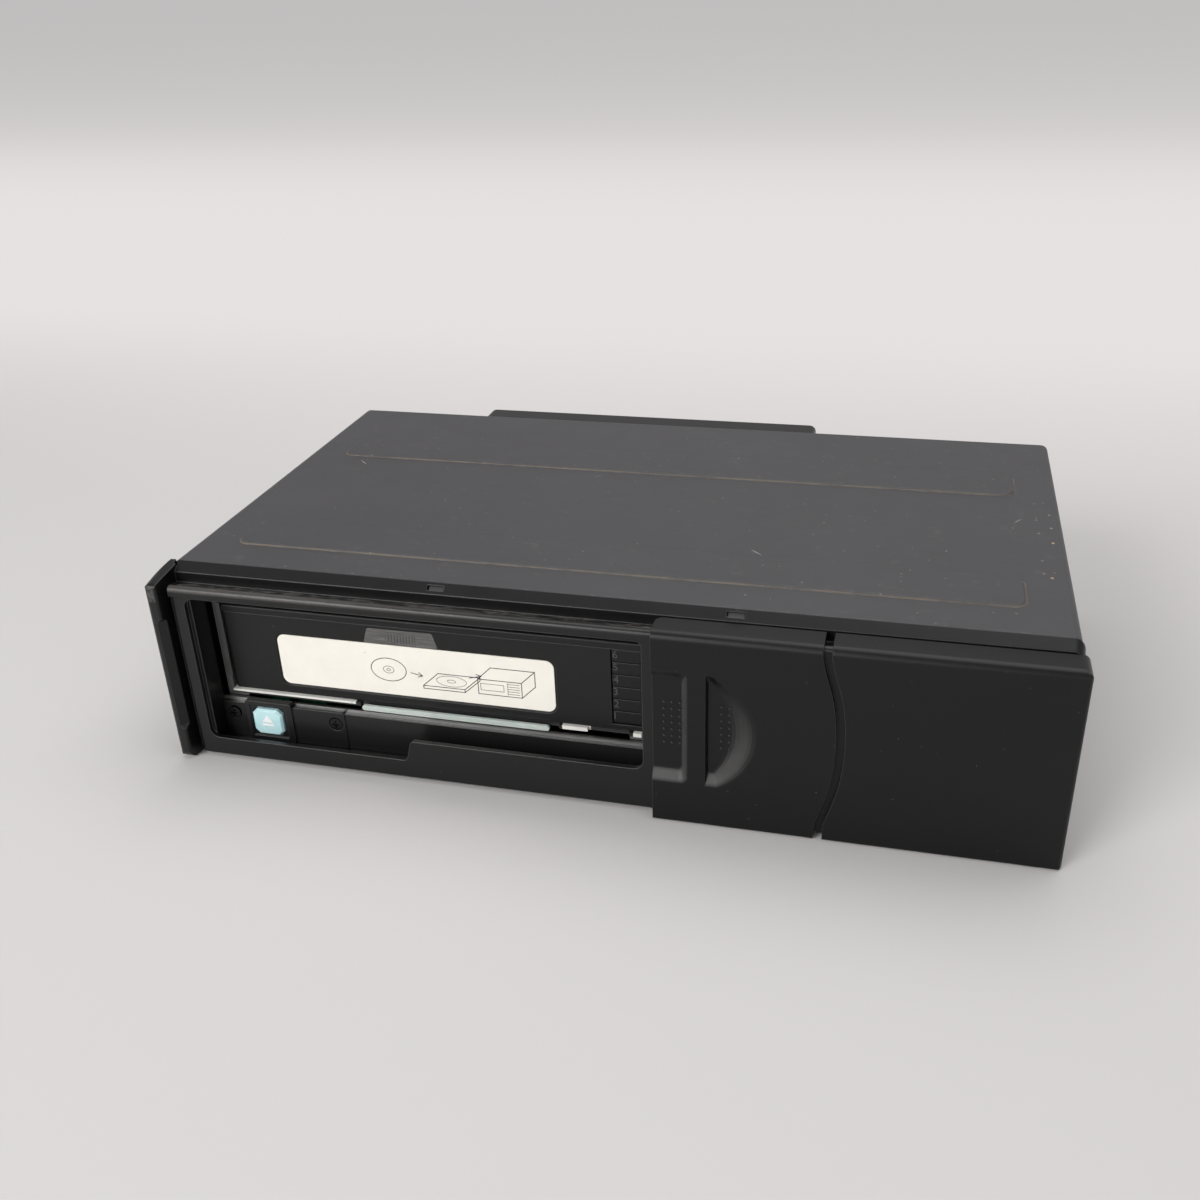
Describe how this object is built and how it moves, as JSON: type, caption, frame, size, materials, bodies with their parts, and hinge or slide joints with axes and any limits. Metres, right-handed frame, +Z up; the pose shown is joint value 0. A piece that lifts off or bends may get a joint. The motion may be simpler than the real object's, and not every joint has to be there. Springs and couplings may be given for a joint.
{
  "type": "car compact disc changer",
  "caption": "Slim car disc changer with a sloped metal case, sliding front door, removable disc magazine with slide-out trays, and a lifting drive deck.",
  "frame": {"origin": "middle of the footprint, on the plane that the bottom ribs rest on", "axes": "+X to the right seen from the front, +Y towards the back, +Z up; the front faces -Y"},
  "size_m": [0.26, 0.17, 0.0638],
  "materials": {
    "case_paint": "satin charcoal paint",
    "front_plastic": "fine-grained black",
    "magazine_plastic": "black",
    "label_paper": "cream film label",
    "tab_grey": "brushed grey",
    "button_cyan": "translucent pale cyan",
    "light_green": "translucent pale green",
    "white_plastic": "white",
    "steel": "bright",
    "black_screw": "black zinc",
    "rubber": "matte",
    "board_green": "solder mask",
    "component_black": "moulded",
    "pin_brass": "plated",
    "lens": "polished"
  },
  "bodies": {
    "housing": {"top_cover": "case_paint", "bottom_cover": "case_paint", "front_bezel": "front_plastic", "fascia_cover": "front_plastic", "slot_escutcheon": "front_plastic", "escutcheon_screws": "black_screw", "button_board": "board_green", "light_bar": "light_green", "magazine_floor": "white_plastic", "magazine_guide_left": "white_plastic", "magazine_guide_right": "white_plastic", "magazine_detent": "steel", "magazine_roof": "case_paint", "main_board": "board_green", "board_components": "component_black", "mechanism_chassis": "steel", "rubber_dampers": "rubber", "lift_posts": "steel", "lift_gear_post": "steel", "lift_motor": "steel", "clamp_bracket": "steel", "clamp_pin": "steel", "mount_nuts": "steel", "cover_screws": "black_screw", "rear_housing": "front_plastic", "rear_connector": "component_black", "connector_pins": "pin_brass"},
    "door": {"sliding_door": "front_plastic"},
    "shutter": {"door_shutter": "front_plastic"},
    "button": {"eject_button": "button_cyan"},
    "magazine": {"magazine_case": "magazine_plastic", "magazine_lid": "magazine_plastic", "magazine_label": "label_paper", "magazine_push_tab": "tab_grey"},
    "deck": {"deck_frame": "steel", "guide_rods": "steel", "spindle_motor": "steel"},
    "spindle": {"turntable": "component_black"},
    "sled": {"pickup_sled": "white_plastic", "pickup_lens": "lens"},
    "sled_pinion": {"sled_gear": "white_plastic"},
    "cam": {"lift_cam": "steel"},
    "lift_pinion": {"lift_gear": "white_plastic"},
    "clamp": {"clamp_arm": "steel"},
    "puck": {"clamp_puck": "component_black"},
    "dial_left": {"tilt_dial_left": "front_plastic"},
    "dial_right": {"tilt_dial_right": "front_plastic"},
    "tray_1": {"disc_tray_1": "magazine_plastic"},
    "tray_2": {"disc_tray_2": "magazine_plastic"},
    "tray_3": {"disc_tray_3": "magazine_plastic"},
    "tray_4": {"disc_tray_4": "magazine_plastic"},
    "tray_5": {"disc_tray_5": "magazine_plastic"},
    "tray_6": {"disc_tray_6": "magazine_plastic"}
  },
  "joints": [
    {"name": "door_slide", "type": "slide", "parent": "housing", "child": "door", "axis": [1, 0, 0], "range_m": [-0.1453, 0]},
    {"name": "shutter_slide", "type": "slide", "parent": "housing", "child": "shutter", "axis": [1, 0, 0], "range_m": [-0.07265, 0]},
    {"name": "eject_press", "type": "slide", "parent": "housing", "child": "button", "axis": [0, 1, 0], "range_m": [0, 0.0016], "stiffness_N_per_m": 500, "springref_m": -0.0006},
    {"name": "magazine_slide", "type": "slide", "parent": "housing", "child": "magazine", "axis": [0, -1, 0], "range_m": [0, 0.156]},
    {"name": "tray_1_slide", "type": "slide", "parent": "magazine", "child": "tray_1", "axis": [1, 0, 0], "range_m": [0, 0.104]},
    {"name": "tray_2_slide", "type": "slide", "parent": "magazine", "child": "tray_2", "axis": [1, 0, 0], "range_m": [0, 0.104]},
    {"name": "tray_3_slide", "type": "slide", "parent": "magazine", "child": "tray_3", "axis": [1, 0, 0], "range_m": [0, 0.104]},
    {"name": "tray_4_slide", "type": "slide", "parent": "magazine", "child": "tray_4", "axis": [1, 0, 0], "range_m": [0, 0.104]},
    {"name": "tray_5_slide", "type": "slide", "parent": "magazine", "child": "tray_5", "axis": [1, 0, 0], "range_m": [0, 0.104]},
    {"name": "tray_6_slide", "type": "slide", "parent": "magazine", "child": "tray_6", "axis": [1, 0, 0], "range_m": [0, 0.104]},
    {"name": "deck_lift", "type": "slide", "parent": "housing", "child": "deck", "axis": [0, 0, 1], "range_m": [0, 0.0225]},
    {"name": "cam_slide", "type": "slide", "parent": "housing", "child": "cam", "axis": [0, 1, 0], "range_m": [0, 0.0225]},
    {"name": "lift_gear_turn", "type": "hinge", "parent": "housing", "child": "lift_pinion", "pos_m": [0.1103, -0.025, 0.0058], "axis": [0, 0, 1], "range_deg": [0, 161.15]},
    {"name": "turntable_spin", "type": "hinge", "parent": "deck", "child": "spindle", "pos_m": [0.0549, -0.0073, 0.02138], "axis": [0, 0, 1], "continuous": true},
    {"name": "sled_feed", "type": "slide", "parent": "deck", "child": "sled", "axis": [0, 1, 0], "range_m": [0, 0.035]},
    {"name": "sled_gear_turn", "type": "hinge", "parent": "deck", "child": "sled_pinion", "pos_m": [0.0285, 0.025, 0.01018], "axis": [0, 0, 1], "range_deg": [0, 313.35]},
    {"name": "clamp_swing", "type": "hinge", "parent": "housing", "child": "clamp", "pos_m": [0.0549, 0.062, 0.05622], "axis": [-1, 0, 0], "range_deg": [-20, 0], "stiffness_Nm_per_rad": 0.05, "springref_deg": 28.65},
    {"name": "puck_spin", "type": "hinge", "parent": "clamp", "child": "puck", "pos_m": [0.0549, -0.0073, 0.04963], "axis": [0, 0, 1], "continuous": true},
    {"name": "dial_left_turn", "type": "hinge", "parent": "housing", "child": "dial_left", "pos_m": [-0.1268, 0.015, 0.04], "axis": [1, 0, 0], "range_deg": [0, 90]},
    {"name": "dial_right_turn", "type": "hinge", "parent": "housing", "child": "dial_right", "pos_m": [0.1282, 0.015, 0.04], "axis": [1, 0, 0], "range_deg": [0, 90]}
  ],
  "couplings": [
    {"joint": "shutter_slide", "follows": "door_slide", "ratio": 0.5},
    {"joint": "cam_slide", "follows": "deck_lift", "ratio": 1},
    {"joint": "lift_gear_turn", "follows": "deck_lift", "rad_per_m": 125},
    {"joint": "sled_gear_turn", "follows": "sled_feed", "rad_per_m": 156.25}
  ]
}
